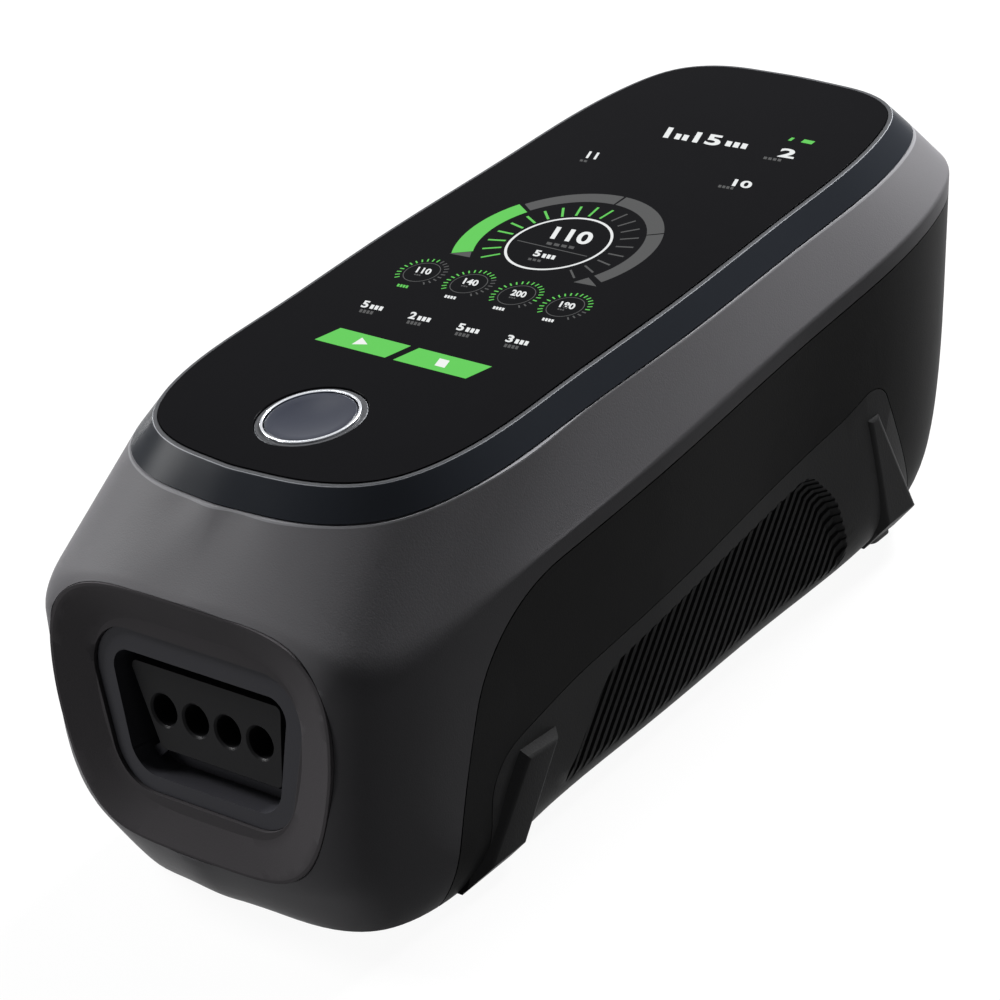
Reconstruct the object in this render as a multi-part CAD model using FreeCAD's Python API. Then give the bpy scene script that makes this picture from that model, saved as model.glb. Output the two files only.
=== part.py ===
"""Compression therapy pump: a table-top air pump with a touch screen, as an assembly of separate pieces.

Frame: millimetres, +Z up, +X to the right of someone who faces the hose socket, +Y away from the socket.
The origin is at floor level, midway between the ends and sides of the pump.
"""
import FreeCAD, Part
import math
import os

from FreeCAD import Placement, Rotation, Vector

os.makedirs("parts", exist_ok=True)

X_AXIS = Vector(1, 0, 0)
Y_AXIS = Vector(0, 1, 0)
Z_AXIS = Vector(0, 0, 1)
FAR = 400.0                       # longer than the pump, for cutting bodies that pass right through it
over = 1.0                        # a shorter cutting body reaches past its piece by this much
sink = 0.5                        # pieces of one solid reach into each other by this much

# ======== driving dimensions ==========================================================================
# the whole pump
glass_top = 99.5                  # height of the touch glass above the floor
nose_front = -116.9               # front of the nose where its flat face is at mid height
nose_mid_height = 50.5            # height at which nose_front is measured
nose_lean = 0.18                  # the flat face leans back by this much for each mm of height
tail_rear = 123.8                 # rearmost point of the tail
widest_y = -4.0                   # where the barrel-shaped plan is widest
side_power = 2.2                  # how the half width falls off from the widest point
end_flat = 0.55                   # share of each end's width that is nearly straight
end_bow = 0.3                     # share of an end's bow that lies within its flat part
corner_angles = (8.0, 45.0, 82.0)
side_fractions = (0.2, 0.45, 0.75)

# touch glass and its bezel
glass_front = -85.8
glass_rear = 117.7
glass_half_width = 44.3
glass_front_half = 42.4           # half width where the front corner ends
glass_rear_half = 38.4            # half width where the rear corner starts
glass_front_radius = 26.0
glass_rear_radius = 20.0
glass_front_bow = 1.7
glass_rear_bow = 1.2
glass_thickness = 1.2
glass_gap = 0.2                   # round the edge of the glass
bezel_drop = 6.3                  # height of the sloping bezel
bezel_side = 5.5                  # how far it slopes out at the sides
bezel_front = 8.0
bezel_rear = 4.2
bezel_front_radius = 30.1         # of the bezel's foot
bezel_rear_radius = 22.8
bezel_lip = 0.9                   # flat lip round the glass
bezel_lip_drop = 0.3              # the lip lies this far below the glass
bezel_ledge = 2.5                 # width of the ledge that carries the glass
shadow_gap = 0.4                  # height of the groove between the bezel and the top cover
shadow_depth = 0.8                # and how far it goes in

# shoulder crease: the widest line of the casing, which climbs towards the tail
crease_height = 76.5              # above the floor, at the widest point
crease_slope = 0.0746
crease_half_width = 57.0
crease_front_half = 51.5
crease_rear_half = 53.3
crease_front_radius = 12.0
crease_rear_radius = 25.0
crease_tight = (0.09, 0.45)       # roundness above the crease along the body, and at the nose
under_tight = (0.03, 0.28)        # and below it
brow_height = 74.5                # where the top of the nose meets its flat face
brow_proud = 2.8                  # the form stands this far out of the flat face before it is cut
brow_lift = 8.0                   # how far the crease rises round the top of the nose
brow_fade = 50.0                  # x at which that rise has faded out
nose_start = -70.0                # where the body starts to turn into the nose

# haunch: the form at the height of the grips
haunch_height = 26.0
haunch_half_width = 49.2
haunch_front_half = 48.0
haunch_rear_half = 49.0
haunch_rear = 112.0
haunch_proud = 4.0
haunch_front_radius = 16.0
haunch_bow = 2.0

# sill: the rounded lower edge, and the flat underside
sill_height = 5.5
sill_half_width = 46.8
sill_front_half = 47.5
sill_rear_half = 45.0
sill_rear = 102.0
sill_proud = -5.0
sill_front_radius = 23.8
sill_bow = 3.6
sill_thin = 0.6                   # how fast the sill rises as the form is drawn in
base_height = 1.0                 # underside of the casing above the floor
base_half_width = 40.0
base_front_half = 43.3
base_rear_half = 37.0
base_front = -114.7
base_rear = 94.0
base_front_radius = 18.0
base_rear_radius = 19.2
base_bow = 1.5
tail_corner_radius = 24.0
tail_bow = 2.0

# shells
cover_wall = 2.6
housing_wall = 3.6
nose_wall = 7.4                   # the top cover is thicker behind the nose panel
seam_gap = 0.4                    # visible joint between the top cover and the lower housing
seam_below_crease = 4.4
seam_front_height = 42.15         # a point of the seam where it runs down behind the nose
seam_front_y = -80.75
seam_front_slope = 0.363
seam_bend = 35.5                  # radius of the bend between the two runs of the seam

# nose panel, hose socket and manifold, in the plane of the nose's flat face
panel_half_height = 31.3
panel_half_width = 43.6
panel_thickness = 4.6
panel_dish = 2.8                  # the panel is dished by this much towards the socket
panel_dish_rim = 0.975            # share of the panel's size where the dish starts
panel_dish_floor = 0.735          # and where it reaches its full depth
panel_middle = 47.9               # height of the panel's centre
panel_gap = 0.15
socket_lip_depth = 3.7            # the socket's flange lies this far behind the nose's flat face
socket_wall = 1.8
socket_depth = 19.0
socket_floor = 2.0
manifold_depth = 6.7              # from the panel's face to the manifold's face
# corners (x, height) in that plane from the panel's centre, counter-clockwise from the upper left,
# and the radius of each
flange_corners = ((-34.9, 19.1), (-25.9, -20.0), (25.9, -20.0), (34.9, 19.1))
flange_radii = (11.0, 12.0, 12.0, 11.0)
mouth_corners = ((-27.8, 13.4), (-22.4, -16.1), (22.4, -16.1), (27.8, 13.4))
mouth_radii = (5.0, 8.0, 8.0, 5.0)
manifold_corners = ((-24.9, 9.7), (-16.6, -10.4), (20.8, -10.4), (22.3, 9.7))
manifold_radii = (1.6, 1.6, 1.6, 1.6)
port_radius = 3.8
port_pitch = 10.0
port_depth = 9.0
port_row = -0.8                   # height of the row of ports above the panel's centre
ports = 4
port_chamfer = 0.5
manifold_collar = 2.0             # rim of the manifold behind the socket's floor
manifold_back = socket_depth + 4.0
barb_length = 8.0
barb_radius = 1.75
barb_hole = 1.1
# key and shelf in the socket that the plug's shape answers to
key_corners = ((-21.5, -12.0), (-19.7, -14.1), (-14.6, -9.9), (-15.9, -8.3))
key_depth = 8.7
shelf_corners = ((-24.0, -19.0), (24.0, -19.0), (24.0, -13.9), (-24.0, -13.9))
shelf_depth = 11.7

# side grips
grip_skin = 1.8
grip_gap = 0.25
grip_inner_x = 34.0               # the grips reach in to here under the floor
# corners (y, z) of the grip seen from the right, counter-clockwise in (y, z), and the radius of each
grip_corners = ((-86.5, -2.0), (80.5, -2.0), (81.5, 10.0), (77.5, 24.0), (69.5, 51.3), (55.0, 47.5),
                (-0.6, 39.2), (-45.0, 34.6), (-75.5, 28.3), (-80.0, 12.0))
grip_radii = (0.0, 0.0, 8.0, 30.0, 6.5, 30.0, 90.0, 90.0, 15.0, 25.0)

# ribbed hand hold
hold_corners = ((-66.0, -2.0), (54.8, -2.0), (54.8, 12.0), (50.5, 27.5), (41.5, 39.2), (-33.5, 30.0))
hold_radii = (0.0, 0.0, 20.0, 20.0, 7.0, 9.0)
hold_floor_x = 46.4               # the floor is upright and fades out at the sill
hold_profile = ((0.0, -3.4), (1.3, -1.3), (4.1, 0.0), (12.0, 2.5))   # (x above the floor, growth)
hold_back_x = 43.8                # x of the grip's inner face behind the hand hold
hold_wall = 1.8                   # wall of the lower housing behind the hand hold
rib_pitch = 3.27                  # along Y
rib_groove = 1.75                 # width of a groove along Y
rib_depth = 0.9
rib_lean = 1.0                    # the ribs climb by this much for each mm towards the tail

# legs
leg_inner_x = 34.5
leg_round = 1.2
leg_flank_x = 46.5                # the flanks start to lean in here
leg_crest_x = 51.0                # the legs' outlines are given here
leg_tip_x = 54.5                  # and the flanks end here
leg_foot_angle = 45.0
foot_pad = 1.0                    # thickness of the pads under the legs

# home button
button_y = -62.4
button_radius = 10.65
button_gap = 0.25
button_travel = 0.8
button_dish = 0.9                 # the finger dish is this deep
trim_width = 0.7
trim_proud = 0.3                  # the bright ring stands this far above the glass
collar_radius = 13.0              # of the surround where it shows in the glass
collar_drop = 0.25                # its face lies this far below the glass
surround_radius = 16.0            # of the surround under the glass
glass_hole_gap = 0.15
glass_hole_bevel = 0.3            # on the upper edge of the hole in the glass


# ======== plan outlines ================================================================================
def half_outline(front, rear, halves, radii, bows):
    """Right half of a barrel-shaped plan outline, from the front centre round to the rear centre.

    halves: half width at the front corner, at the widest point and at the rear corner.
    """
    front_half, mid_half, rear_half = halves
    front_radius, rear_radius = radii
    front_bow, rear_bow = bows
    front_x = front_half - front_radius
    front_y = front + front_bow + front_radius
    rear_x = rear_half - rear_radius
    rear_y = rear - rear_bow - rear_radius
    points = [(0.0, front), (end_flat * front_x, front + end_bow * front_bow)]
    for angle in corner_angles:
        a = math.radians(angle)
        points.append((front_x + front_radius * math.sin(a), front_y - front_radius * math.cos(a)))
    for fraction in side_fractions:
        y = front_y + fraction * (rear_y - front_y)
        end_half = front_half if y < widest_y else rear_half
        end_y = front_y if y < widest_y else rear_y
        reach = abs(y - widest_y) / abs(end_y - widest_y)
        points.append((mid_half - (mid_half - end_half) * reach ** side_power, y))
    for angle in reversed(corner_angles):
        a = math.radians(angle)
        points.append((rear_x + rear_radius * math.sin(a), rear_y + rear_radius * math.cos(a)))
    points += [(end_flat * rear_x, rear - end_bow * rear_bow), (0.0, rear)]
    return points


def ring(half, height):
    """Closed list of points from a right half outline. height(x, y) gives each point's Z."""
    right = [Vector(x, y, height(x, y)) for x, y in half]
    left = [Vector(-p.x, p.y, p.z) for p in reversed(right[1:-1])]
    return right + left


def ring_parameters(points):
    """Chord-length parameters of a closed list of points, from 0 to 1."""
    closed = points + points[:1]
    lengths = [0.0]
    for a, b in zip(closed, closed[1:]):
        lengths.append(lengths[-1] + a.distanceToPoint(b))
    return [s / lengths[-1] for s in lengths]


def closed_spline(points, parameters):
    curve = Part.BSplineCurve()
    curve.interpolate(Points=points, PeriodicFlag=True, Parameters=parameters)
    return curve


def glass_half(grow):
    """Plan outline of the touch glass, grown by grow."""
    return half_outline(glass_front - grow, glass_rear + grow,
                        (glass_front_half + grow, glass_half_width + grow, glass_rear_half + grow),
                        (glass_front_radius + grow, glass_rear_radius + grow),
                        (glass_front_bow, glass_rear_bow))


def bezel_foot_half(inset=0.0):
    """Plan outline of the line where the bezel meets the casing."""
    grow = bezel_side - inset
    return half_outline(glass_front - bezel_front + inset, glass_rear + bezel_rear - inset,
                        (glass_front_half + grow, glass_half_width + grow, glass_rear_half + grow),
                        (bezel_front_radius, bezel_rear_radius),
                        (glass_front_bow, glass_rear_bow))


def flat_wire(half, z):
    points = ring(half, lambda x, y: z)
    return Part.Wire([closed_spline(points, ring_parameters(points)).toShape()])


def plate(half, z_low, z_high):
    """Flat plate of a plan outline between two heights."""
    return Part.Face(flat_wire(half, z_low)).extrude(Vector(0, 0, z_high - z_low))


# ======== general solids ===============================================================================
def box(x0, x1, y0, y1, z0, z1):
    return Part.makeBox(x1 - x0, y1 - y0, z1 - z0, Vector(x0, y0, z0))


def rod(radius, start, end):
    """Cylinder from one point to another."""
    a, b = Vector(*start), Vector(*end)
    return Part.makeCylinder(radius, a.distanceToPoint(b), a, b - a)


def tube(outer, inner, start, end):
    return rod(outer, start, end).cut(rod(inner, start, end))


def join(shapes):
    shapes = list(shapes)
    return shapes[0].multiFuse(shapes[1:]).removeSplitter() if len(shapes) > 1 else shapes[0]


def group(shapes):
    """Separate solids that share one node."""
    return Part.makeCompound(list(shapes))


def mirrored(shape):
    """The same piece on the pump's left side."""
    return shape.mirror(Vector(0, 0, 0), X_AXIS)


def grown(corners, grow):
    """Corners of a counter-clockwise polygon after every side has moved out by grow."""
    moved = []
    for i, corner in enumerate(corners):
        into = Vector(corner[0] - corners[i - 1][0], corner[1] - corners[i - 1][1], 0).normalize()
        following = corners[(i + 1) % len(corners)]
        away = Vector(following[0] - corner[0], following[1] - corner[1], 0).normalize()
        normals = Vector(into.y + away.y, -into.x - away.x, 0)
        shift = normals * (grow / (1.0 + into.dot(away)))
        moved.append((corner[0] + shift.x, corner[1] + shift.y))
    return moved


def rounded_wire(corners, radii, place):
    """Closed wire through the corners, each rounded by its radius. place(u, v) gives a corner's point."""
    points = [place(u, v) for u, v in corners]
    edges = []
    last_end = None
    for i, corner in enumerate(points):
        before = (points[i - 1] - corner).normalize()
        after = (points[(i + 1) % len(points)] - corner).normalize()
        half = before.getAngle(after) / 2
        start = corner + before * (radii[i] / math.tan(half))
        end = corner + after * (radii[i] / math.tan(half))
        if last_end:
            edges.append(Part.LineSegment(last_end, start).toShape())
        else:
            first_start = start
        if radii[i] > 0.0:
            middle = corner + (before + after).normalize() * (radii[i] / math.sin(half) - radii[i])
            edges.append(Part.Arc(start, middle, end).toShape())
        last_end = end
    edges.append(Part.LineSegment(last_end, first_start).toShape())
    return Part.Wire(edges)


def side_wire(corners, radii, x):
    return rounded_wire(corners, radii, lambda y, z: Vector(x, y, z))


def side_prism(corners, x0, x1, radii=None):
    """Prism of a (y, z) outline between two values of x."""
    wire = side_wire(corners, radii or [0.0] * len(corners), x0)
    return Part.Face(wire).extrude(Vector(x1 - x0, 0, 0))


def plan_prism(corners, radius, z0, z1):
    """Prism of an (x, y) outline between two heights, with rounded corners."""
    wire = rounded_wire(corners, [radius] * len(corners), lambda x, y: Vector(x, y, z0))
    return Part.Face(wire).extrude(Vector(0, 0, z1 - z0))


def rectangle(x0, x1, y0, y1):
    return ((x0, y0), (x1, y0), (x1, y1), (x0, y1))


# ======== casing form ==================================================================================
def plane_y(z, inset=0.0):
    """Y of the nose's flat face at height z, moved in by inset."""
    return nose_front + nose_lean * (z - nose_mid_height) + inset * math.hypot(1.0, nose_lean)


def crease_z(y):
    """Height of the shoulder crease at y."""
    return crease_height + crease_slope * (y - widest_y)


def casing(inset=0.0):
    """The casing's outer form, or the same form drawn in by inset on every side."""
    def row(front, rear, halves, radii, bows, height):
        thin = tuple(h - inset for h in halves)
        return ring(half_outline(front + inset, rear - inset, thin, radii, bows), height)

    top_z = glass_top - bezel_drop - inset
    top = ring(bezel_foot_half(inset), lambda x, y: top_z)
    crease_front = plane_y(brow_height) - brow_proud

    def crease_level(x, y):
        lift = max(0.0, (y - nose_start) / (crease_front - nose_start))
        return crease_z(y) + brow_lift * lift ** 2 * (1.0 - (x / brow_fade) ** 4)

    crease = row(crease_front, tail_rear, (crease_front_half, crease_half_width, crease_rear_half),
                 (crease_front_radius, crease_rear_radius), (tail_bow, tail_bow), crease_level)
    haunch = row(plane_y(haunch_height) - haunch_proud, haunch_rear,
                 (haunch_front_half, haunch_half_width, haunch_rear_half),
                 (haunch_front_radius, tail_corner_radius), (haunch_bow, tail_bow),
                 lambda x, y: haunch_height)
    sill = row(plane_y(sill_height) - sill_proud, sill_rear,
               (sill_front_half, sill_half_width, sill_rear_half),
               (sill_front_radius, tail_corner_radius), (sill_bow, tail_bow),
               lambda x, y: sill_height + sill_thin * inset)
    base = row(base_front, base_rear, (base_front_half, base_half_width, base_rear_half),
               (base_front_radius, base_rear_radius), (base_bow, tail_bow),
               lambda x, y: base_height + inset)

    def between(a, b, fractions):
        return [p + (q - p) * f for p, q, f in zip(a, b, fractions)]

    nose_share = [max(0.0, (p.y - nose_start) / (crease_front - nose_start)) for p in crease]

    def tightness(limits):
        return [limits[0] + (limits[1] - limits[0]) * share for share in nose_share]

    above = between(crease, top, tightness(crease_tight))
    below = between(crease, haunch, tightness(under_tight))
    rows = [top, above, crease, below, haunch, sill, base]

    parameters = [0.5 * (a + b) for a, b in zip(ring_parameters(crease), ring_parameters(top))]
    curves = [closed_spline(points, parameters) for points in rows]
    poles = [list(column) for column in zip(*[c.getPoles() for c in curves])]
    spans = len(rows) - 2
    surface = Part.BSplineSurface()
    surface.buildFromPolesMultsKnots(poles, curves[0].getMultiplicities(), [3] + [1] * (spans - 1) + [3],
                                     curves[0].getKnots(), [float(k) for k in range(spans + 1)],
                                     True, False, 3, 2)
    wall = surface.toShape()
    ends = [e for e in wall.Edges if e.isClosed()]
    shell = Part.Shell([wall] + [Part.Face(Part.Wire([e])) for e in ends])
    shell.sewShape()
    return Part.Solid(Part.Shell(shell.Faces))


def behind_nose_plane(inset=0.0):
    """Everything behind the nose's flat face, moved in by inset."""
    block = Part.makeBox(2 * FAR, FAR, 2 * FAR, Vector(-FAR, 0, -FAR))
    block.rotate(Vector(0, 0, 0), X_AXIS, -math.degrees(math.atan(nose_lean)))
    block.translate(Vector(0, plane_y(0.0, inset), 0))
    return block


def below_seam(drop):
    """Everything under the seam between the top cover and the lower housing, lowered by drop."""
    def seam_z(y):
        return crease_z(y) - seam_below_crease - drop

    down_y = seam_front_y + drop
    slope = crease_slope
    top_at_zero = seam_z(0.0)
    corner_z = (top_at_zero + slope * (down_y - seam_front_slope * seam_front_height))
    corner_z /= 1.0 - slope * seam_front_slope
    corner_y = down_y + seam_front_slope * (corner_z - seam_front_height)
    corner = Vector(0, corner_y, corner_z)
    to_tail = Vector(0, 1, slope).normalize()
    to_floor = Vector(0, -seam_front_slope, -1).normalize()
    turn = math.pi - to_tail.getAngle(to_floor)
    tangent = seam_bend * math.tan(turn / 2)
    start = corner + to_tail * tangent
    end = corner + to_floor * tangent
    inward = (to_tail + to_floor).normalize()
    middle = corner + inward * (seam_bend / math.cos(turn / 2) - seam_bend)
    tail = corner + to_tail * FAR
    floor = corner + to_floor * FAR
    low = Vector(0, tail.y, floor.z)
    wire = Part.Wire([Part.LineSegment(tail, start).toShape(), Part.Arc(start, middle, end).toShape(),
                      Part.LineSegment(end, floor).toShape(), Part.LineSegment(floor, low).toShape(),
                      Part.LineSegment(low, tail).toShape()])
    wire.translate(Vector(-FAR, 0, 0))
    return Part.Face(wire).extrude(Vector(2 * FAR, 0, 0))


# ======== nose: panel, hose socket, manifold ===========================================================
NOSE = Placement(Vector(0, plane_y(panel_middle), panel_middle),
                 Rotation(X_AXIS, 90.0 - math.degrees(math.atan(nose_lean))))
manifold_barb_start = NOSE.multVec(Vector(0, port_row, -manifold_back)).y
tube_height = NOSE.multVec(Vector(0, port_row, -manifold_depth - port_depth)).z
# half outline of the nose panel, as shares of its half width and half height, from the top centre down
panel_shape = ((0.0, 1.0), (0.30, 0.997), (0.52, 0.980), (0.70, 0.930), (0.83, 0.845), (0.93, 0.705),
               (0.987, 0.50), (1.0, 0.25), (0.98, -0.05), (0.935, -0.32), (0.87, -0.57), (0.765, -0.79),
               (0.62, -0.93), (0.44, -0.985), (0.22, -1.0), (0.0, -1.003))


def panel_wire(grow, share, depth):
    """The panel's outline, grown and scaled, at a depth behind the flat face."""
    half_width = share * (panel_half_width + grow)
    half_height = share * (panel_half_height + grow)
    right = [Vector(x * half_width, y * half_height, -depth) for x, y in panel_shape]
    left = [Vector(-p.x, p.y, p.z) for p in reversed(right[1:-1])]
    points = right + left
    return Part.Wire([closed_spline(points, ring_parameters(points)).toShape()])


def panel_prism(grow, near, far):
    """The nose panel's outline grown by grow, from depth near to depth far behind the flat face."""
    solid = Part.Face(panel_wire(grow, 1.0, far)).extrude(Vector(0, 0, far - near))
    solid.Placement = NOSE
    return solid


def nose_prism(corners, radii, grow, near, far):
    """Rounded polygon in the plane of the flat face, from depth near to depth far behind it."""
    wire = rounded_wire(grown(corners, grow), [r + grow if r else 0.0 for r in radii],
                        lambda x, y: Vector(x, y, -far))
    solid = Part.Face(wire).extrude(Vector(0, 0, far - near))
    solid.Placement = NOSE
    return solid


def flange_prism(grow, near, far):
    return nose_prism(flange_corners, flange_radii, grow, near, far)


def mouth_prism(grow, near, far):
    return nose_prism(mouth_corners, mouth_radii, grow, near, far)


def manifold_prism(grow, near, far):
    return nose_prism(manifold_corners, manifold_radii, grow, near, far)


def nose_point(x, y, depth):
    return NOSE.multVec(Vector(x, y, -depth))


def port_xs():
    return [port_pitch * (i - (ports - 1) / 2) for i in range(ports)]


def nose_panel():
    """Dished plate round the hose socket."""
    rim = panel_wire(0.0, panel_dish_rim, 0.0)
    floor = panel_wire(0.0, panel_dish_floor, panel_dish)
    dish = Part.makeLoft([rim, floor], True, True)
    dish.Placement = NOSE
    solid = panel_prism(-panel_gap, 0.0, panel_thickness).cut(dish)
    return solid.cut(flange_prism(panel_gap, -1.0, panel_thickness + 1.0))


def hose_socket():
    """Deep cup with a flange, in which the hose plug seats round the manifold."""
    cup_floor = socket_depth - socket_floor
    flange = flange_prism(0.0, socket_lip_depth, panel_thickness)
    cup = join([flange, mouth_prism(socket_wall, socket_lip_depth, socket_depth)])
    cup = cup.cut(mouth_prism(0.0, -over, cup_floor))
    cup = cup.cut(manifold_prism(panel_gap, cup_floor - over, socket_depth + over))
    sharp = (0.0, 0.0, 0.0, 0.0)
    key = nose_prism(key_corners, sharp, 0.0, key_depth, cup_floor + sink)
    key = key.cut(manifold_prism(panel_gap, 0.0, socket_depth))
    shelf = nose_prism(shelf_corners, sharp, 0.0, shelf_depth, cup_floor + sink)
    return join([cup] + [piece.common(mouth_prism(sink, 0.0, socket_depth)) for piece in (key, shelf)])


def hose_manifold():
    """Keystone block with the four hose ports in its face and a barb behind each."""
    block = manifold_prism(0.0, manifold_depth, manifold_back)
    collar = manifold_prism(manifold_collar, socket_depth + running_gap, manifold_back)
    solid = join([block, collar])
    barb_end = manifold_barb_start + barb_length
    for x in port_xs():
        solid = solid.fuse(rod(barb_radius, (x, manifold_barb_start - barb_sink, tube_height),
                               (x, barb_end, tube_height)))
    for x in port_xs():
        mouth = nose_point(x, port_row, manifold_depth)
        end = nose_point(x, port_row, manifold_depth + port_depth)
        solid = solid.cut(rod(port_radius, nose_point(x, port_row, manifold_depth - over), end))
        chamfer = Part.makeCone(port_radius + port_chamfer, port_radius, port_chamfer, mouth, end - mouth)
        solid = solid.cut(chamfer)
        solid = solid.cut(rod(barb_hole, (x, end.y - over, tube_height), (x, barb_end + over, tube_height)))
    return solid


# ======== grips and legs ===============================================================================
def grip_prism(grow):
    """The grip's outline as a prism that reaches in under the floor."""
    radii = [r + grow if r else 0.0 for r in grip_radii]
    return side_prism(grown(grip_corners, grow), grip_inner_x - grow, FAR, radii)


def hold_wire(x, grow):
    return side_wire(grown(hold_corners, grow), [r + grow if r else 0.0 for r in hold_radii], x)


def hold_prism(grow, x0):
    """The hand hold's outline as a prism that reaches in to x0."""
    return Part.Face(hold_wire(x0, grow)).extrude(Vector(FAR - x0, 0, 0))


def hold_hollow(deeper=0.0):
    """The hand hold itself, moved in by deeper: its walls curve out from an upright floor."""
    return Part.makeLoft([hold_wire(hold_floor_x + rise - deeper, grow) for rise, grow in hold_profile],
                         True, True)


def rib_grooves():
    """Slanting slabs for the grooves between the ribs."""
    low = hold_corners[0][1]
    high = max(z for y, z in hold_corners) + hold_wall
    run = (high - low) / rib_lean
    first = hold_corners[0][0] - run
    count = int((hold_corners[1][0] - first) / rib_pitch)
    slabs = []
    for i in range(count):
        y = first + i * rib_pitch
        corners = ((y, low), (y + rib_groove, low), (y + rib_groove + run, high), (y + run, high))
        slabs.append(side_prism(corners, hold_floor_x - hold_wall, FAR))
    return group(slabs)


class Leg:
    """A leg: its (y, z) outline at leg_crest_x, how far each side leans in per mm of x, the x of its outer
    face at the top and at the floor, and the height up to which its lower edge is cut away."""

    def __init__(self, corners, lean, top_x, foot_x, cut_height):
        self.corners = corners
        self.lean = lean
        self.top_x = top_x
        self.foot_x = foot_x
        self.cut_height = cut_height


# each side of the outline runs from its corner to the next one, counter-clockwise in (y, z)
front_leg = Leg(((-85.7, foot_pad), (-74.6, foot_pad), (-56.0, 24.3), (-66.2, 25.5)),
                (0.0, 0.25, 0.75, 0.67), 51.4, 49.6, 5.0)
rear_leg = Leg(((71.2, foot_pad), (80.8, foot_pad), (80.8, 5.8), (67.2, 43.8), (62.2, 43.8)),
               (0.0, 0.0, 0.2, 0.75, 0.6), 53.4, 48.6, 9.0)


def leaned(leg, reach):
    """The leg's outline after each side has leaned in over reach mm of x."""
    sides = len(leg.corners)
    lines = []
    for i in range(sides):
        (y0, z0), (y1, z1) = leg.corners[i], leg.corners[(i + 1) % sides]
        along = Vector(y1 - y0, z1 - z0, 0).normalize()
        inward = Vector(-along.y, along.x, 0) * (leg.lean[i] * reach)
        lines.append((Vector(y0, z0, 0) + inward, along))
    corners = []
    for i in range(sides):
        (point_a, along_a), (point_b, along_b) = lines[i - 1], lines[i]
        cross = along_a.x * along_b.y - along_a.y * along_b.x
        offset = point_b - point_a
        t = (offset.x * along_b.y - offset.y * along_b.x) / cross
        corner = point_a + along_a * t
        corners.append((corner.x, corner.y))
    return corners


def tilted_block(x, z, angle):
    """Everything outside a plane through (x, z) that leans out by angle from the vertical."""
    block = Part.makeBox(FAR, 2 * FAR, 2 * FAR, Vector(x, -FAR, z - FAR))
    block.rotate(Vector(x, 0, z), Y_AXIS, angle)
    return block


def leg_solid(leg, grow=0.0):
    """One leg, a block whose sides and outer face lean in, grown by grow."""
    base = grown(leaned(leg, leg_flank_x - leg_crest_x), grow)
    tip = grown(leaned(leg, leg_tip_x - leg_crest_x), grow)
    sharp = [0.0] * len(base)
    ends = [side_wire(base, sharp, leg_flank_x), side_wire(tip, sharp, leg_tip_x)]
    flanks = Part.makeLoft(ends, True, True)
    solid = join([side_prism(base, leg_inner_x - grow, leg_flank_x), flanks])
    top = max(z for y, z in leg.corners)
    lean = math.degrees(math.atan((leg.top_x - leg.foot_x) / top))
    solid = solid.cut(tilted_block(leg.foot_x + grow, 0.0, lean))
    solid = solid.cut(tilted_block(leg.foot_x + grow, leg.cut_height, leg_foot_angle))
    if grow == 0.0:
        outer = [e for e in solid.Edges if min(v.X for v in e.Vertexes) > leg_flank_x + leg_round]
        solid = solid.makeFillet(leg_round, outer)
    return solid


def grip_right():
    """Rubber grip: a skin with a ribbed hand hold and two legs."""
    outer = casing()
    inside = casing(grip_skin)
    skin = grip_prism(0.0).common(outer.cut(inside))
    backing = hold_prism(grip_skin, hold_back_x).common(outer)
    body = join([skin, backing]).cut(hold_hollow())
    body = body.cut(hold_hollow(rib_depth).common(rib_grooves()))
    return body.fuse([leg_solid(leg).cut(inside) for leg in (front_leg, rear_leg)])


def grip_pocket():
    """What the lower housing leaves free for the right grip."""
    outer = casing(-1.0)
    inside = casing(grip_skin + grip_gap)
    skin = grip_prism(grip_gap).cut(inside).common(outer)
    backing = hold_prism(grip_skin + grip_gap, hold_back_x - grip_gap).common(outer)
    return [skin, backing] + [leg_solid(leg, grip_gap).cut(inside) for leg in (front_leg, rear_leg)]


# ======== layout of the inside =========================================================================
floor_z = base_height + housing_wall
frame_bottom = glass_top - bezel_drop
frame_thickness = 1.2
frame_top = frame_bottom + frame_thickness
frame_gap = 0.5                   # round the display's frame, inside the bezel's ledge
opening_inset = 18.0              # the opening in the cover's top is this much smaller than the glass
running_gap = 0.05                # radial clearance of sliding and turning pieces
thread_gap = 0.1                  # between a screw and the hole that it bites in
hole_gap = 0.3                    # between a screw and a hole that it passes through
hole_spare = 1.0                  # a screw's hole goes on past its tip by this much
driver_slot = 0.3                 # half width of the cross in a screw's head
driver_reach = 0.65               # and its reach and depth as shares of the head's radius and height
driver_depth = 0.5

display_half_width = 32.5
display_front = -39.5
display_rear = 104.0
cable_slot = (-14.0, 14.0, 90.0, 94.0)    # x and y of the slot for the display's cable

valve_y = -48.0
valve_seat_z = 42.0
valve_seat_gap = 0.2
valve_bore = 1.2
valve_half_width = 24.0
valve_half_depth = 12.0
valve_block_bottom = 34.0
valve_block_top = 52.0
valve_ear_half_width = 31.0
valve_ear_half_depth = 5.0
valve_ear_thickness = 4.0
valve_front_barb = 6.0
valve_rear_barb = 4.5
plunger_radius = 3.0
plunger_length = 20.0
plunger_chamfer = 0.6
spring_length = 4.0
spring_outer = 2.5
spring_inner = 1.8
coil_half_width = 4.7
coil_half_depth = 6.0
coil_roof = 2.0
coil_bore_top = valve_seat_z + valve_seat_gap + plunger_length + spring_length
gallery_z = 38.0
gallery_radius = 1.5
sensor_board_x = (6.0, 24.0)
sensor_board_z = (37.0, 51.5)
sensor_size = (6.0, 3.5, 5.0)
sensor_xs = (8.0, 16.0)
sensor_zs = (38.5, 45.5)
tube_outer = 2.9
tube_end_gap = 1.0                # between a tube's end and the face behind it

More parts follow.
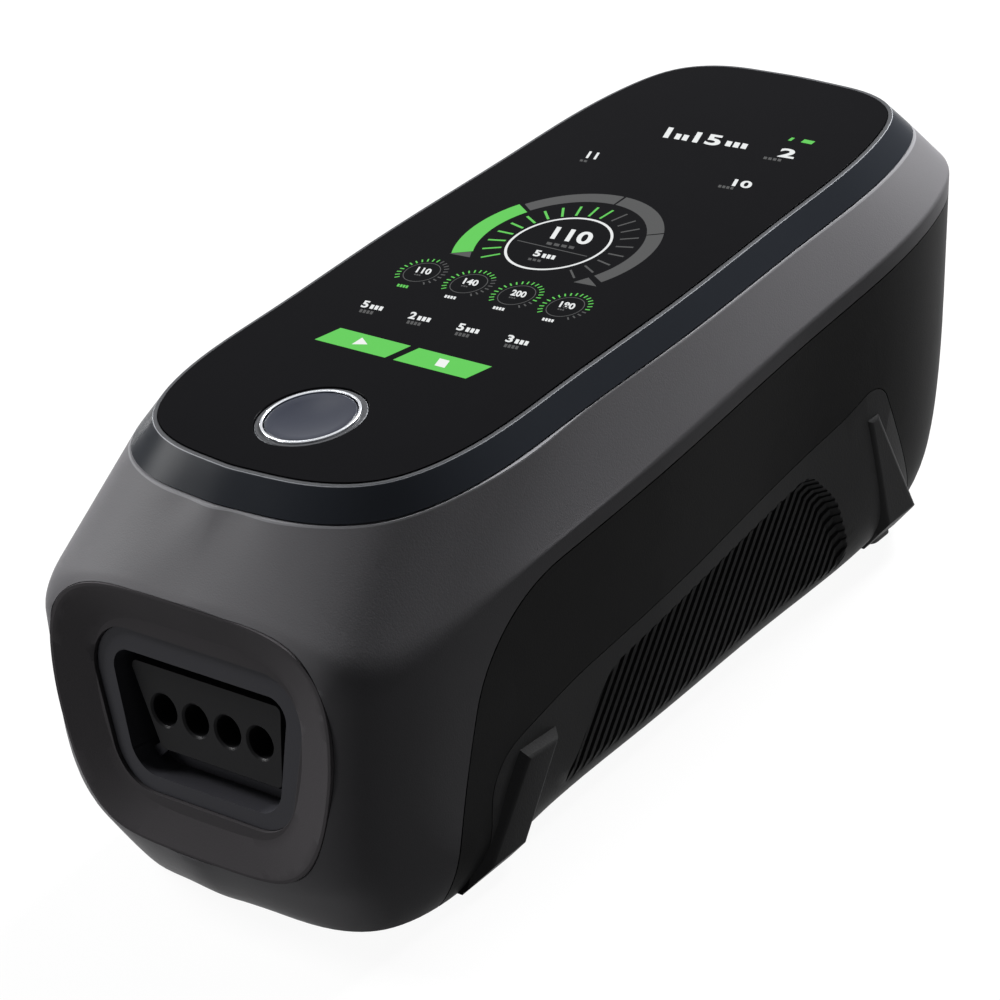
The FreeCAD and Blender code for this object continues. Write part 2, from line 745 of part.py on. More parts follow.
pump_z = 50.0                     # height of the motor's axis
motor_radius = 14.0
motor_wall = 1.2
motor_end_wall = 2.0
motor_front = -4.0
motor_rear = 34.0
armature_radius = 9.5
armature_front = 2.0
armature_rear = 26.0
shaft_radius = 1.5
shaft_front = -19.0
eccentric_radius = 5.0
eccentric_offset = 1.2
eccentric_front = -18.0
eccentric_rear = -11.0
weight_radius = 7.0
weight_hub = 2.5
weight_front = -10.5
weight_rear = -7.5
weight_cut = 1.0                  # the counterweight stops this far above the axis
pump_front = -24.0
pump_half_width = 16.0
crank_radius = 9.0
crank_wall = 3.0
diaphragm_y = -14.5
diaphragm_z = 62.0
diaphragm_thickness = 1.5
diaphragm_foot = 3.5
diaphragm_foot_z = 56.5
diaphragm_well = 6.5
head_top = 71.0
head_dome = (8.0, 5.0, 3.0)       # radius below and above, and height
head_port_x = 4.0
head_port_radius = 1.5
head_nipple = (2.2, 1.4, 3.0)     # outer and inner radius, and height
outlet_barb = 4.5
outlet_depth = 8.0
cradle_top = 30.0
cradle_bottom = 27.5
cradle_half_width = 31.0
saddle_half_width = 11.0
saddle_front = 22.0
saddle_rear = 32.0
saddle_top = 44.0
isolator_bottom = 24.0
isolator_radius = 4.3

cell_radius = 9.1
cell_length = 65.0
cell_x = 9.6
cell_cap_radius = 2.8
cell_cap_height = 1.0
tray_bottom = 3.0
tray_floor = 1.5
tray_wall = 1.6
tray_half_x = 20.6
tray_half_y = 35.5
tray_top = 16.0
strap_half_y = 6.0
strap_thickness = 0.9
strap_low = 8.0
hatch_half_x = 29.8
hatch_half_y = 45.8
hatch_corner = 1.0
hatch_gap = 0.2
hatch_thickness = 2.0
tray_opening = (-21.8, 21.8, -38.0, 38.0)     # x and y of the hole in the floor above the hatch
intake_half_width = 14.0
intake_width = 2.0
intake_slots = tuple(62.0 + 5.0 * i for i in range(5))
filter_space = (-17.0, 17.0, 58.0, 88.0)
filter_top = 8.6

board_thickness = 1.6
main_board_top = 77.6
main_board_half = 30.0
main_board_front = -28.0
main_board_rear = 84.0
button_board_top = 89.5
button_board_half_x = 12.0
button_board_half_y = 7.0
# (x0, x1, y0, y1) and height of the parts under and on the main board, and the capacitor's x, y, radius
# and height
parts_below = (((-9.0, 9.0, 40.0, 58.0), 1.4), ((14.0, 26.0, 44.0, 56.0), 4.0),
               ((-26.0, -16.0, 40.0, 52.0), 3.2), ((-26.0, -14.0, 62.0, 70.0), 6.0),
               ((-8.0, 8.0, 66.0, 72.0), 5.0), ((12.0, 26.0, 62.0, 69.0), 6.0))
parts_above = (((-7.0, 7.0, -22.0, -17.0), 2.2), ((-12.0, 12.0, 20.0, 40.0), 1.2))
capacitor = (20.0, 34.0, 5.0, 7.0)
ribbon_half_width = 5.0
ribbon_thickness = 0.4
ribbon_rear = -22.5
ribbon_bends = (-26.5, -47.0)     # y where it starts to rise and where it is level again
ribbon_turn = 0.2
ribbon_front = -57.0

stem_radius = 2.5
stem_bottom = 93.9
trim_inner = button_radius + button_gap
trim_outer = trim_inner + trim_width
trim_round = 0.25
collar_chamfer = 0.3
button_round = 0.4
dish_rim = 1.0                    # flat rim round the finger dish
flange_radius = button_radius + 1.3
flange_gap = 0.4
button_flange_bottom = 96.0
button_flange_top = 97.2
ring_lip_bottom = 97.5
ring_lip_top = 98.1
return_spring_outer = 5.2
return_spring_inner = 4.2
switch_half = 3.0
switch_body_top = 92.4
switch_pin_radius = 1.6
switch_gap = 0.05                 # the stem stops this far above the switch when it is pressed

tongue_gap = 0.1                  # between the top cover and the lower housing's tongue behind the seam
tongue_height = 2.0
tongue_front = -97.0
pad_inner_x = 35.0
pad_outer_x = 40.6
pad_ends = ((-89.0, -73.0), (72.0, 79.8))
pad_corner = 2.0
case_post_joint = 50.0
joint_gap = 0.1
case_post_radius = 4.5
cover_post_radius = 4.0
cradle_post_radius = 4.5
valve_post_radius = 4.0
hatch_post_radius = 3.5
hatch_post_top = 11.0
board_post_radius = 3.0
button_post_radius = 2.5
barb_sink = 2.0

inlet_z = 26.0
inlet_seat_y = 107.5              # the inlet's flange bears here
nut_rear_y = 101.0                # and its nut here, on the inside
inlet_boss_radius = 11.0
inlet_recess_radius = 8.0
inlet_radius = 5.8
inlet_gap = 0.1
inlet_front = 97.0
inlet_flange_radius = 7.7
inlet_flange = 1.5
inlet_socket_radius = 2.75
inlet_socket_depth = 8.0
inlet_pin_radius = 1.0
nut_radius = 8.6                  # over its corners
nut_thickness = 2.5
nut_gap = 0.05


def both_sides(places):
    return [(sign * x, y) for x, y in places for sign in (1, -1)]


def bore(radius, x, y, low=-FAR, high=FAR):
    """Upright cutting rod."""
    return rod(radius, (x, y, low), (x, y, high))


def bore_y(radius, x, z, front=-FAR, rear=FAR):
    """Cutting rod along Y."""
    return rod(radius, (x, front, z), (x, rear, z))


class Screw:
    """A kind of cross-head screw: its head and shank, the height that its head bears on, 1 or -1 for a
    shank that points up or down, and its places (x, y) on the right side."""

    def __init__(self, head_radius, head_height, radius, length, seat, way, places):
        self.head_radius = head_radius
        self.head_height = head_height
        self.radius = radius
        self.length = length
        self.seat = seat
        self.way = way
        self.places = both_sides(places)

    def solids(self):
        return group([self.solid(x, y) for x, y in self.places])

    def solid(self, x, y):
        top = self.seat - self.way * self.head_height
        tip = self.seat + self.way * self.length
        shank = rod(self.radius, (x, y, self.seat - self.way * sink), (x, y, tip))
        solid = rod(self.head_radius, (x, y, top), (x, y, self.seat)).fuse(shank)
        low, high = sorted((top, top + self.way * driver_depth * self.head_height))
        arm = driver_reach * self.head_radius
        solid = solid.cut(box(x - arm, x + arm, y - driver_slot, y + driver_slot, low, high))
        return solid.cut(box(x - driver_slot, x + driver_slot, y - arm, y + arm, low, high))

    def bites(self):
        """The holes that the screws bite in, from their seat to past their tips."""
        end = self.seat + self.way * (self.length + hole_spare)
        return [rod(self.radius + thread_gap, (x, y, self.seat), (x, y, end)) for x, y in self.places]

    def clears(self, low=-FAR, high=FAR):
        """The holes that the screws pass through."""
        return [bore(self.radius + hole_gap, x, y, low, high) for x, y in self.places]

    def sinks(self):
        """Round pockets that take the heads, open on the far side."""
        return [rod(self.head_radius + hole_gap, (x, y, self.seat), (x, y, -self.way * FAR))
                for x, y in self.places]

    def posts(self, radius, low, high):
        return [rod(radius, (x, y, low), (x, y, high)) for x, y in self.places]


hatch_screw = Screw(2.7, 0.9, 1.2, 7.0, base_height + 1.2, 1, ((25.6, 41.6), (25.6, -41.6)))
case_screw = Screw(3.0, 2.4, 1.4, 32.0, 30.0, 1, ((29.0, -65.0), (29.0, 93.0)))
cradle_screw = Screw(2.8, 1.8, 1.4, 14.0, cradle_top, -1, ((26.0, -18.0), (26.0, 28.0)))
valve_screw = Screw(2.4, 1.6, 1.2, 12.0, valve_block_bottom + valve_ear_thickness, -1, ((27.0, valve_y),))
board_screw = Screw(2.1, 1.4, 1.0, 7.0, main_board_top - board_thickness, 1, ((22.0, -23.0), (18.0, 79.0)))
button_screw = Screw(2.0, 1.2, 1.0, 4.4, button_board_top - board_thickness, 1, ((9.0, button_y),))


# ======== top: glass, bezel, display, home button ======================================================
def button_rod(radius, low, high):
    """Upright rod on the home button's axis."""
    return rod(radius, (0, button_y, low), (0, button_y, high))


def touch_glass():
    solid = plate(glass_half(0.0), glass_top - glass_thickness, glass_top)
    solid = solid.cut(button_rod(collar_radius + glass_hole_gap, frame_top, FAR))
    bevel = Part.makeCone(collar_radius, collar_radius + 2 * glass_hole_bevel, 2 * glass_hole_bevel,
                          Vector(0, button_y, glass_top - glass_hole_bevel), Z_AXIS)
    return solid.cut(bevel)


def glass_bezel():
    """Sloping frame round the glass, with a ledge that the glass is bonded to."""
    foot = flat_wire(bezel_foot_half(), frame_bottom)
    lip = flat_wire(glass_half(glass_gap + bezel_lip), glass_top - bezel_lip_drop)
    solid = Part.makeLoft([foot, lip], True, True)
    solid = solid.cut(plate(glass_half(glass_gap), glass_top - glass_thickness, glass_top + over))
    solid = solid.cut(plate(glass_half(-bezel_ledge), frame_bottom - over, glass_top))
    groove = plate(bezel_foot_half(-over), frame_bottom, frame_bottom + shadow_gap)
    return solid.cut(groove.cut(plate(bezel_foot_half(shadow_depth), frame_bottom - over, frame_top)))


def display_panel():
    return box(-display_half_width, display_half_width, display_front, display_rear, frame_top,
               glass_top - glass_thickness)


def display_frame():
    """Plate under the display, with posts for the two circuit boards and the button's guide."""
    solid = plate(glass_half(-bezel_ledge - frame_gap), frame_bottom, frame_top)
    posts = board_screw.posts(board_post_radius, main_board_top, frame_bottom + sink)
    posts += button_screw.posts(button_post_radius, button_board_top, frame_bottom + sink)
    solid = join([solid] + posts)
    holes = board_screw.bites() + button_screw.bites()
    holes.append(button_rod(stem_radius + running_gap, 0.0, FAR))
    holes.append(box(*cable_slot, frame_bottom - over, frame_top + over))
    return solid.cut(group(holes))


def home_button_ring():
    """Round surround that the home button works in, held under the edge of the glass."""
    collar_top = glass_top - collar_drop
    collar = button_rod(collar_radius, frame_top, collar_top)
    rim = [e for e in collar.Edges if e.BoundBox.ZMin > collar_top - sink]
    collar = collar.makeChamfer(collar_chamfer, rim)
    solid = join([button_rod(surround_radius, frame_top, glass_top - glass_thickness), collar])
    solid = solid.cut(button_rod(trim_inner + running_gap, 0.0, FAR))
    solid = solid.cut(button_rod(trim_outer + running_gap, ring_lip_top, FAR))
    return solid.cut(button_rod(flange_radius + flange_gap, 0.0, ring_lip_bottom))


def home_button_trim():
    top = glass_top + trim_proud
    solid = button_rod(trim_outer, ring_lip_top, top).cut(button_rod(trim_inner, 0.0, FAR))
    return solid.makeFillet(trim_round, [e for e in solid.Edges if e.BoundBox.ZMin > top - sink])


def home_button():
    """Round button with a finger dish, a flange that keeps it in its ring and a stem on to the switch."""
    cap = button_rod(button_radius, button_flange_bottom, glass_top)
    cap = cap.makeFillet(button_round, [e for e in cap.Edges if e.BoundBox.ZMin > glass_top - sink])
    reach = button_radius - dish_rim
    ball = (reach ** 2 + button_dish ** 2) / (2 * button_dish)
    cap = cap.cut(Part.makeSphere(ball, Vector(0, button_y, glass_top - button_dish + ball)))
    flange = button_rod(flange_radius, button_flange_bottom, button_flange_top)
    return join([cap, flange, button_rod(stem_radius, stem_bottom, button_flange_bottom + sink)])


def home_button_spring():
    outer = button_rod(return_spring_outer, frame_top, button_flange_bottom)
    return outer.cut(button_rod(return_spring_inner, 0.0, FAR))


def home_switch():
    body = box(-switch_half, switch_half, button_y - switch_half, button_y + switch_half, button_board_top,
               switch_body_top)
    pin_top = stem_bottom - button_travel - switch_gap
    return body.fuse(button_rod(switch_pin_radius, switch_body_top - sink, pin_top))


def button_board():
    solid = box(-button_board_half_x, button_board_half_x, button_y - button_board_half_y,
                button_y + button_board_half_y, button_board_top - board_thickness, button_board_top)
    return solid.cut(group(button_screw.clears()))


# ======== casing =======================================================================================
def top_cover():
    """Upper shell, which also wraps down round the nose to the floor side."""
    body = casing().common(behind_nose_plane())
    hollow = casing(cover_wall).common(behind_nose_plane(nose_wall))
    hollow = hollow.cut(box(-FAR, FAR, -FAR, FAR, frame_bottom - cover_wall, FAR))
    solid = body.cut(hollow).cut(below_seam(0.0))
    solid = solid.cut(plate(glass_half(-opening_inset), frame_bottom - 2 * cover_wall, FAR))
    solid = solid.cut(panel_prism(0.0, -over, panel_thickness))
    solid = solid.cut(mouth_prism(socket_wall + panel_gap, 0.0, nose_wall + cover_wall))
    posts = case_screw.posts(cover_post_radius, case_post_joint, frame_bottom - cover_wall + sink)
    return join([solid] + posts).cut(group(case_screw.bites()))


def tail_seat():
    """Boss in the tail that carries the charging inlet, and what is cut out of it."""
    boss = bore_y(inlet_boss_radius, 0, inlet_z, nut_rear_y).common(casing(sink))
    recess = bore_y(inlet_recess_radius, 0, inlet_z, inlet_seat_y)
    hole = bore_y(inlet_radius + inlet_gap, 0, inlet_z, inlet_front - over)
    return boss, recess.fuse(hole)


def lower_housing():
    """Lower shell with pockets for the grips, a hatch underneath and posts for everything inside."""
    body = casing().cut(casing(housing_wall)).common(below_seam(seam_gap))
    tongue = casing(cover_wall + tongue_gap).cut(casing(housing_wall)).common(below_seam(-tongue_height))
    tongue = tongue.common(box(-FAR, FAR, tongue_front, FAR, -FAR, FAR))
    hold = hold_prism(grip_skin + grip_gap + hold_wall, hold_back_x - grip_gap - hold_wall)
    hold = hold.common(casing(sink))
    boss, inlet_cut = tail_seat()
    keep = [body, tongue, hold, mirrored(hold), boss]
    low = floor_z - over
    keep += case_screw.posts(case_post_radius, low, case_post_joint - joint_gap)
    keep += cradle_screw.posts(cradle_post_radius, low, isolator_bottom)
    keep += valve_screw.posts(valve_post_radius, low, valve_block_bottom)
    keep += hatch_screw.posts(hatch_post_radius, low, hatch_post_top)
    solid = join(keep)
    pocket = grip_pocket()
    solid = solid.cut(pocket + [mirrored(piece) for piece in pocket])
    cuts = [inlet_cut] + case_screw.sinks() + case_screw.clears(case_screw.seat, case_post_joint)
    cuts += cradle_screw.bites() + valve_screw.bites() + hatch_screw.bites()
    half_x, half_y = hatch_half_x + hatch_gap, hatch_half_y + hatch_gap
    cuts.append(box(-half_x, half_x, -half_y, half_y, 0.0, base_height + hatch_thickness))
    cuts.append(box(*tray_opening, 0.0, floor_z + over))
    cuts += [box(-intake_half_width, intake_half_width, y, y + intake_width, 0.0, floor_z + over)
             for y in intake_slots]
    for cut in cuts:
        solid = solid.cut(cut)
    return solid


def base_plate():
    outline = rectangle(-hatch_half_x, hatch_half_x, -hatch_half_y, hatch_half_y)
    solid = plan_prism(outline, hatch_corner, base_height, base_height + hatch_thickness)
    return solid.cut(group(hatch_screw.clears())).cut(group(hatch_screw.sinks()))


def foot_pads():
    """Four pads under the legs."""
    pads = []
    for y0, y1 in pad_ends:
        pad = plan_prism(rectangle(pad_inner_x, pad_outer_x, y0, y1), pad_corner, 0.0, foot_pad)
        pads += [pad, mirrored(pad)]
    return group(pads)


# ======== hoses and valves =============================================================================
def zone_tubes():
    start = manifold_barb_start + tube_end_gap
    end = valve_y - valve_half_depth - tube_end_gap
    return group([tube(tube_outer, barb_radius + running_gap, (x, start, tube_height), (x, end, tube_height))
                  for x in port_xs()])


def valve_block():
    """Block with four valve bores joined by a gallery."""
    front, rear = valve_y - valve_half_depth, valve_y + valve_half_depth
    solid = box(-valve_half_width, valve_half_width, front, rear, valve_block_bottom, valve_block_top)
    ears = box(-valve_ear_half_width, valve_ear_half_width, valve_y - valve_ear_half_depth,
               valve_y + valve_ear_half_depth, valve_block_bottom, valve_block_bottom + valve_ear_thickness)
    barbs = [rod(barb_radius, (x, front - valve_front_barb, tube_height), (x, front + over, tube_height))
             for x in port_xs()]
    barbs.append(rod(barb_radius, (0, rear - over, gallery_z), (0, rear + valve_rear_barb, gallery_z)))
    solid = join([solid, ears] + barbs)
    end_x = max(port_xs()) + plunger_radius + sink
    cuts = [rod(gallery_radius, (-end_x, valve_y, gallery_z), (end_x, valve_y, gallery_z)),
            bore_y(barb_hole, 0, gallery_z, valve_y)]
    for x in port_xs():
        cuts.append(bore(plunger_radius + running_gap, x, valve_y, valve_seat_z))
        cuts.append(bore(valve_bore, x, valve_y, gallery_z, valve_seat_z + over))
        cuts.append(bore_y(barb_hole, x, tube_height, -FAR, valve_y))
    cuts += valve_screw.clears()
    for cut in cuts:
        solid = solid.cut(cut)
    return solid


def valve_coils():
    """Four solenoid coils that stand on the valve block."""
    coils = []
    for x in port_xs():
        coil = box(x - coil_half_width, x + coil_half_width, valve_y - coil_half_depth,
                   valve_y + coil_half_depth, valve_block_top, coil_bore_top + coil_roof)
        coils.append(coil.cut(bore(plunger_radius + running_gap, x, valve_y, 0.0, coil_bore_top)))
    return group(coils)


def valve_plunger(x):
    base = valve_seat_z + valve_seat_gap
    solid = rod(plunger_radius, (x, valve_y, base), (x, valve_y, base + plunger_length))
    return solid.makeChamfer(plunger_chamfer, [e for e in solid.Edges if e.BoundBox.ZMax < base + sink])


def valve_spring(x):
    """Return spring between the plunger's top and the end of the coil's bore."""
    return tube(spring_outer, spring_inner, (x, valve_y, coil_bore_top - spring_length),
                (x, valve_y, coil_bore_top))


def sensor_board():
    front = valve_y + valve_half_depth
    return box(*sensor_board_x, front, front + board_thickness, *sensor_board_z)


def pressure_sensors():
    rear = valve_y + valve_half_depth + board_thickness
    width, depth, height = sensor_size
    return group([box(x, x + width, rear, rear + depth, z, z + height) for x in sensor_xs for z in sensor_zs])


# ======== compressor ===================================================================================
def motor_can():
    solid = rod(motor_radius, (0, motor_front, pump_z), (0, motor_rear, pump_z))
    solid = solid.cut(bore_y(motor_radius - motor_wall, 0, pump_z, motor_front + motor_end_wall,
                             motor_rear - motor_end_wall))
    return solid.cut(bore_y(shaft_radius + running_gap, 0, pump_z))


def pump_rotor():
    """Motor armature, shaft and the eccentric that works the diaphragm."""
    armature = bore_y(armature_radius, 0, pump_z, armature_front, armature_rear)
    shaft = bore_y(shaft_radius, 0, pump_z, shaft_front, motor_rear)
    eccentric = bore_y(eccentric_radius, 0, pump_z + eccentric_offset, eccentric_front, eccentric_rear)
    weight = bore_y(weight_radius, 0, pump_z, weight_front, weight_rear)
    weight = weight.cut(box(-FAR, FAR, -FAR, FAR, pump_z + weight_cut, FAR))
    hub = bore_y(weight_hub, 0, pump_z, weight_front - sink, weight_rear)
    return join([armature, shaft, eccentric, weight, hub])


def pump_body():
    """Crankcase between the motor and the diaphragm, with the outlet barb at its front."""
    solid = box(-pump_half_width, pump_half_width, pump_front, motor_front, cradle_top, diaphragm_z)
    solid = solid.fuse(bore_y(barb_radius, 0, gallery_z, pump_front - outlet_barb, pump_front + over))
    solid = solid.cut(bore_y(crank_radius, 0, pump_z, pump_front + crank_wall))
    solid = solid.cut(bore(diaphragm_well, 0, diaphragm_y, pump_z))
    return solid.cut(bore_y(barb_hole, 0, gallery_z, -FAR, pump_front + outlet_depth))


def pump_diaphragm():
    """Rubber diaphragm with the foot that follows the eccentric."""
    disc = box(-pump_half_width, pump_half_width, pump_front, motor_front, diaphragm_z,
               diaphragm_z + diaphragm_thickness)
    return disc.fuse(bore(diaphragm_foot, 0, diaphragm_y, diaphragm_foot_z, diaphragm_z + sink))


def pump_head():
    low = diaphragm_z + diaphragm_thickness
    solid = box(-pump_half_width, pump_half_width, pump_front, motor_front, low, head_top)
    solid = solid.cut(Part.makeCone(*head_dome, Vector(0, diaphragm_y, low), Z_AXIS))
    outer, inner, height = head_nipple
    solid = solid.fuse(bore(outer, -head_port_x, diaphragm_y, head_top - over, head_top + height))
    solid = solid.cut(bore(inner, -head_port_x, diaphragm_y))
    return solid.cut(bore(head_port_radius, head_port_x, diaphragm_y))


def pump_cradle():
    """Plate that carries the pump on its four rubber mounts."""
    solid = box(-cradle_half_width, cradle_half_width, pump_front, motor_rear, cradle_bottom, cradle_top)
    saddle = box(-saddle_half_width, saddle_half_width, saddle_front, saddle_rear, cradle_top - sink,
                 saddle_top)
    saddle = saddle.cut(bore_y(motor_radius + running_gap, 0, pump_z))
    return solid.fuse(saddle).cut(group(cradle_screw.clears()))


def isolators():
    rings = cradle_screw.posts(isolator_radius, isolator_bottom, cradle_bottom)
    return group([ring.cut(hole) for ring, hole in zip(rings, cradle_screw.clears())])


def supply_tube():
    start = valve_y + valve_half_depth + sink
    end = pump_front - sink
    return tube(tube_outer, barb_radius + running_gap, (0, start, gallery_z), (0, end, gallery_z))


def intake_filter():
    return box(*filter_space, floor_z, filter_top)


# ======== electronics and battery ======================================================================
def main_board():
    solid = box(-main_board_half, main_board_half, main_board_front, main_board_rear,
                main_board_top - board_thickness, main_board_top)
    return solid.cut(group(board_screw.clears()))


def board_components():
    """Chips, inductors and sockets on both sides of the main board, and one upright capacitor."""
    low = main_board_top - board_thickness
    parts = [box(*place, low - height, low) for place, height in parts_below]
    parts += [box(*place, main_board_top, main_board_top + height) for place, height in parts_above]
    x, y, radius, height = capacitor
    parts.append(rod(radius, (x, y, low - height), (x, y, low)))
    return group(parts)


def ribbon_cable():
    """Flat cable from the main board up to the button's board."""
    top = button_board_top - board_thickness
    low = main_board_top
    rise_start, rise_end = ribbon_bends
    points = [(ribbon_rear, low), (rise_start, low), (rise_end, top - ribbon_thickness),
              (ribbon_front, top - ribbon_thickness), (ribbon_front, top), (rise_end + ribbon_turn, top),
              (rise_start + ribbon_turn, low + ribbon_thickness), (ribbon_rear, low + ribbon_thickness)]
    return side_prism(points, -ribbon_half_width, ribbon_half_width)


def battery_cells():
    z = tray_bottom + tray_floor + cell_radius
    half = cell_length / 2
    cells = []
    for x in (-cell_x, cell_x):
        can = bore_y(cell_radius, x, z, -half, half - cell_cap_height)
        cells.append(can.fuse(bore_y(cell_cap_radius, x, z, 0.0, half)))
    return group(cells)


def battery_tray():
    solid = box(-tray_half_x, tray_half_x, -tray_half_y, tray_half_y, tray_bottom, tray_top)
    inner_x, inner_y = tray_half_x - tray_wall, tray_half_y - tray_wall
    return solid.cut(box(-inner_x, inner_x, -inner_y, inner_y, tray_bottom + tray_floor, FAR))


def battery_strap():
    """Band over the two cells, clipped over the tray's walls."""
    top = tray_bottom + tray_floor + 2 * cell_radius
    outer_x = tray_half_x + strap_thickness
    solid = box(-outer_x, outer_x, -strap_half_y, strap_half_y, strap_low, top + strap_thickness)
    return solid.cut(box(-tray_half_x, tray_half_x, -FAR, FAR, 0.0, top))


# ======== charging inlet ===============================================================================
def charge_inlet():
    barrel = bore_y(inlet_radius, 0, inlet_z, inlet_front, inlet_seat_y + sink)
    flange = bore_y(inlet_flange_radius, 0, inlet_z, inlet_seat_y, inlet_seat_y + inlet_flange)
    floor_y = inlet_seat_y - inlet_socket_depth
    solid = barrel.fuse(flange).cut(bore_y(inlet_socket_radius, 0, inlet_z, floor_y))
    return solid.fuse(bore_y(inlet_pin_radius, 0, inlet_z, floor_y - over, inlet_seat_y))


def charge_nut():
    corners = [(nut_radius * math.cos(math.radians(60 * i)), nut_radius * math.sin(math.radians(60 * i)))
               for i in range(6)]
    wire = Part.makePolygon([Vector(x, nut_rear_y, inlet_z + z) for x, z in corners + corners[:1]])
    nut = Part.Face(wire).extrude(Vector(0, -nut_thickness, 0))
    return nut.cut(bore_y(inlet_radius + nut_gap, 0, inlet_z))


# ======== assembly =====================================================================================
def nodes():
    right = grip_right()
    made = {
        "touch_glass": touch_glass(), "glass_bezel": glass_bezel(), "display_panel": display_panel(),
        "display_frame": display_frame(), "home_button_ring": home_button_ring(),
        "home_button_trim": home_button_trim(), "home_button": home_button(),
        "home_button_spring": home_button_spring(), "home_switch": home_switch(),
        "button_board": button_board(), "top_cover": top_cover(), "lower_housing": lower_housing(),
        "base_plate": base_plate(), "base_screws": hatch_screw.solids(),
        "case_screws": case_screw.solids(),
        "side_grip_right": right, "side_grip_left": mirrored(right), "foot_pads": foot_pads(),
        "nose_panel": nose_panel(), "hose_socket": hose_socket(), "hose_manifold": hose_manifold(),
        "zone_tubes": zone_tubes(), "valve_block": valve_block(), "valve_coils": valve_coils(),
        "valve_screws": valve_screw.solids(), "sensor_board": sensor_board(),
        "pressure_sensors": pressure_sensors(), "motor_can": motor_can(), "pump_rotor": pump_rotor(),
        "pump_body": pump_body(), "pump_diaphragm": pump_diaphragm(), "pump_head": pump_head(),
        "pump_cradle": pump_cradle(), "isolators": isolators(), "cradle_screws": cradle_screw.solids(),
        "supply_tube": supply_tube(), "intake_filter": intake_filter(), "main_board": main_board(),
        "board_components": board_components(),
        "board_screws": group([board_screw.solids(), button_screw.solids()]),
        "ribbon_cable": ribbon_cable(), "battery_cells": battery_cells(), "battery_tray": battery_tray(),
        "battery_strap": battery_strap(), "charge_inlet": charge_inlet(), "charge_nut": charge_nut(),
    }
    for number, x in enumerate(port_xs(), 1):
        made["valve_plunger_%d" % number] = valve_plunger(x)
        made["valve_spring_%d" % number] = valve_spring(x)
    return made


for name, shape in nodes().items():
    shape.exportStep(os.path.join("parts", name + ".step"))
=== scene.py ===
import math

import bmesh
import bpy
from mathutils import Matrix, Vector
from mathutils.kdtree import KDTree


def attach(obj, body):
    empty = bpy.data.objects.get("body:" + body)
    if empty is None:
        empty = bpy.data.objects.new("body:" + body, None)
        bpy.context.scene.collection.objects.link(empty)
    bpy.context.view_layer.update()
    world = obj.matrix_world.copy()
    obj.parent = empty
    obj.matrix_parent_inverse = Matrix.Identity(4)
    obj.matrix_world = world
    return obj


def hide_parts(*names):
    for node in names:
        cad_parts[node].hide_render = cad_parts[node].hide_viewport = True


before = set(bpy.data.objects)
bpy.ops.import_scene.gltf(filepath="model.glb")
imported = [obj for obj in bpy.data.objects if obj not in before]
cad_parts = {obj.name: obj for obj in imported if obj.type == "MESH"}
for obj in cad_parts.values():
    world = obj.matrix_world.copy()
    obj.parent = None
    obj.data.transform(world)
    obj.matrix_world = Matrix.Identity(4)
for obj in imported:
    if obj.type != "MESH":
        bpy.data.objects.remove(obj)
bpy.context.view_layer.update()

# ---- Table and light -------------------------------------------------------------------------------
# A wide pale table top in a softly lit studio. The pump stands on its four pads, and the camera looks
# down on the nose and the right side through a long lens.
scene = bpy.context.scene
scene.view_settings.view_transform = "Standard"

eye = bpy.data.objects.new("Camera", bpy.data.cameras.new("Camera"))
scene.collection.objects.link(eye)
eye_back = Vector((0.6288, -0.6040, 0.4897)).normalized()
eye_up = Vector((-0.2098, 0.4747, 0.8550))
eye_right = eye_up.cross(eye_back).normalized()
eye_up = eye_back.cross(eye_right)
eye.matrix_world = (Matrix.Translation((0.6674, -0.6514, 0.5686))
                    @ Matrix((eye_right, eye_up, eye_back)).transposed().to_4x4())
eye.data.lens = 162.9
eye.data.sensor_width = 36.0
eye.data.clip_end = 20.0
scene.camera = eye


def softbox(name, place, aim, width, height, watts):
    lamp = bpy.data.lights.new(name, "AREA")
    lamp.shape = "RECTANGLE"
    lamp.size = width
    lamp.size_y = height
    lamp.energy = watts
    hung = bpy.data.objects.new(name, lamp)
    hung.location = place
    hung.rotation_euler = (Vector(aim) - Vector(place)).to_track_quat("-Z", "Y").to_euler()
    scene.collection.objects.link(hung)
    return hung


softbox("Key softbox", (-1.08, -0.21, 0.85), (0, -0.05, 0.05), 0.5, 0.6, 26.0)
softbox("Rear softbox", (0.03, 1.04, 0.87), (0.03, 0.05, 0.08), 0.5, 0.5, 56.0)
softbox("Nose softbox", (-0.55, -1.10, 0.12), (0, -0.12, 0.05), 0.3, 0.3, 2.6)
softbox("Right softbox", (1.10, 0.60, 0.50), (0.05, 0, 0.05), 0.4, 0.4, 0.6)
softbox("Button softbox", (-0.755, 0.449, 0.88), (0, -0.0624, 0.0995), 0.14, 0.14, 0.6)
softbox("Left strip", (-1.30, 0.36, 0.12), (0, -0.07, 0.095), 0.06, 0.4, 1.0)

world = bpy.data.worlds.new("Studio")
scene.world = world
world.use_nodes = True
room = world.node_tree
seen = room.nodes.new("ShaderNodeLightPath")
in_view = seen.outputs["Is Camera Ray"]
for kind in ("Is Glossy Ray", "Is Transmission Ray"):
    either = room.nodes.new("ShaderNodeMath")
    either.operation = "MAXIMUM"
    room.links.new(in_view, either.inputs[0])
    room.links.new(seen.outputs[kind], either.inputs[1])
    in_view = either.outputs[0]
room_white = room.nodes.new("ShaderNodeBackground")
room_white.inputs["Color"].default_value = (1, 1, 1, 1)
room_fill = room.nodes["Background"]
room_fill.inputs["Color"].default_value = (0.93, 0.96, 1.0, 1)
room_fill.inputs["Strength"].default_value = 0.045
room_mix = room.nodes.new("ShaderNodeMixShader")
room.links.new(in_view, room_mix.inputs[0])
room.links.new(room_fill.outputs[0], room_mix.inputs[1])
room.links.new(room_white.outputs[0], room_mix.inputs[2])
room.links.new(room_mix.outputs[0], room.nodes["World Output"].inputs["Surface"])


